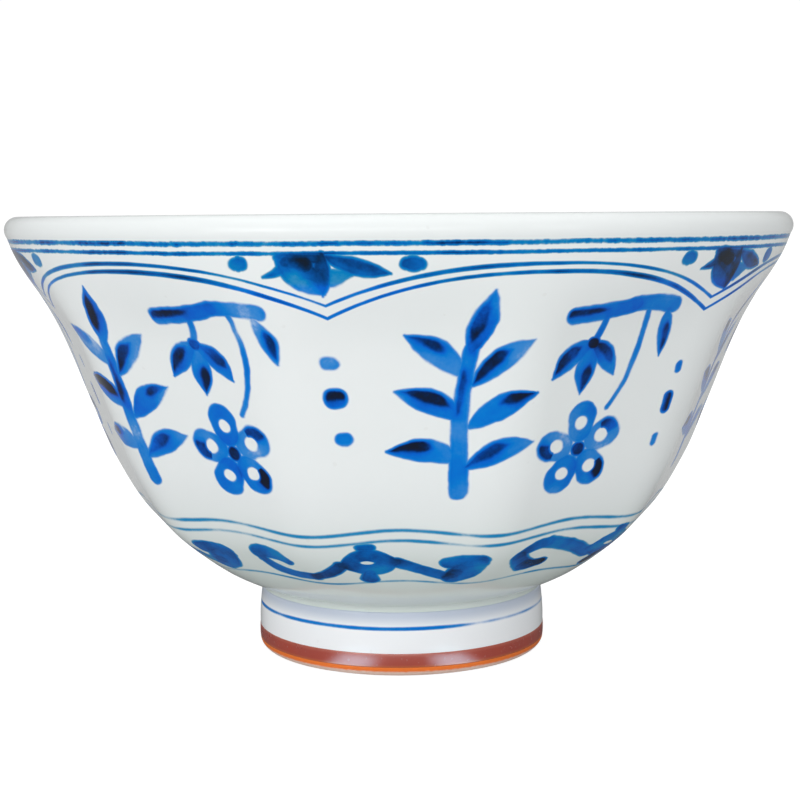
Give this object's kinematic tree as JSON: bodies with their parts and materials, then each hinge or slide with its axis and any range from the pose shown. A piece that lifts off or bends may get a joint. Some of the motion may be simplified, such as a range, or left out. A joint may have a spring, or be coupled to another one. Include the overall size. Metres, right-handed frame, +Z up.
{
  "type": "teacup",
  "caption": "Ten-sided porcelain teacup with a flared, rounded lip on a turned foot ring banded in iron glaze.",
  "frame": {"origin": "middle of the circle on which the foot ring stands, on the table", "axes": "+Z up along the axis of the cup, -Y towards the front, where the middle of one flat side faces"},
  "size_m": [0.1, 0.1, 0.0565],
  "materials": {
    "porcelain": "white porcelain under a clear gloss glaze, brush-painted in cobalt blue on the outside",
    "foot_porcelain": "white porcelain under a clear gloss glaze, wiped bare and toasted orange where it stands",
    "fired_slip": "white slip fired under the same clear glaze, a little duller where it pools in the joint",
    "iron_glaze": "glossy red-brown iron glaze"
  },
  "bodies": {
    "root": {"bowl": "porcelain", "foot_ring": "foot_porcelain", "luting_slip": "fired_slip", "iron_band": "iron_glaze"}
  },
  "joints": []
}
